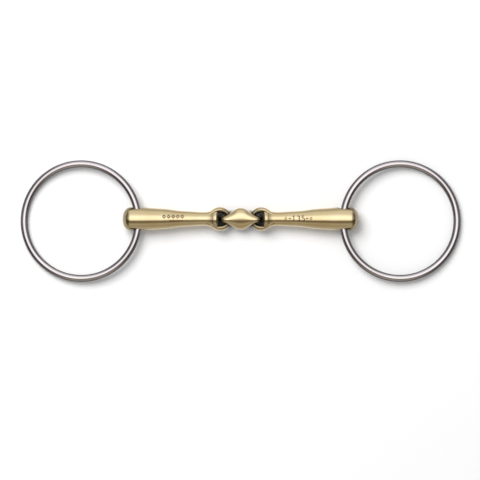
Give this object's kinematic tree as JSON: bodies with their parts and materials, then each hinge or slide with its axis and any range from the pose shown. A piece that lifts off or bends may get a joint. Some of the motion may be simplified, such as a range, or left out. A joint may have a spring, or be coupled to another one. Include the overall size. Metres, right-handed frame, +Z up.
{
  "type": "snaffle bit",
  "caption": "Loose-ring horse bit with a double-jointed mouthpiece: two tapered cannons hinge on a central lozenge link, and a round ring runs through each outer end.",
  "frame": {"origin": "centre of the lozenge link, in the middle of the mouthpiece; the rings hang a little towards -Y and lean down, so the centroid of the whole bit is 0.9 mm from it", "axes": "+X along the mouthpiece towards the right ring, +Y across it towards the top of the picture, +Z up from the surface the bit lies on; the rings lean down by 4.0 degrees so that their far sides rest on that surface, and have run 2.2 degrees down through their holes, towards -Y"},
  "size_m": [0.3006, 0.083, 0.0158],
  "materials": {
    "ring_steel": "polished stainless steel",
    "mouthpiece_alloy": "polished golden copper alloy"
  },
  "bodies": {
    "link": {"centre_link": "mouthpiece_alloy"},
    "left_cannon_body": {"left_cannon": "mouthpiece_alloy"},
    "right_cannon_body": {"right_cannon": "mouthpiece_alloy"},
    "left_ring_body": {"left_ring": "ring_steel"},
    "right_ring_body": {"right_ring": "ring_steel"}
  },
  "joints": [
    {"name": "left_fold", "type": "hinge", "parent": "link", "child": "left_cannon_body", "pos_m": [-0.0082, 0, 0], "axis": [0, 1, 0], "range_deg": [-45, 45]},
    {"name": "right_fold", "type": "hinge", "parent": "link", "child": "right_cannon_body", "pos_m": [0.0082, 0, 0], "axis": [0, -1, 0], "range_deg": [-45, 45]},
    {"name": "left_ring_swing", "type": "hinge", "parent": "left_cannon_body", "child": "left_ring_body", "pos_m": [-0.0703, 0, 0], "axis": [0, 1, 0], "range_deg": [-76, 84]},
    {"name": "right_ring_swing", "type": "hinge", "parent": "right_cannon_body", "child": "right_ring_body", "pos_m": [0.0703, 0, 0], "axis": [0, -1, 0], "range_deg": [-76, 84]}
  ]
}
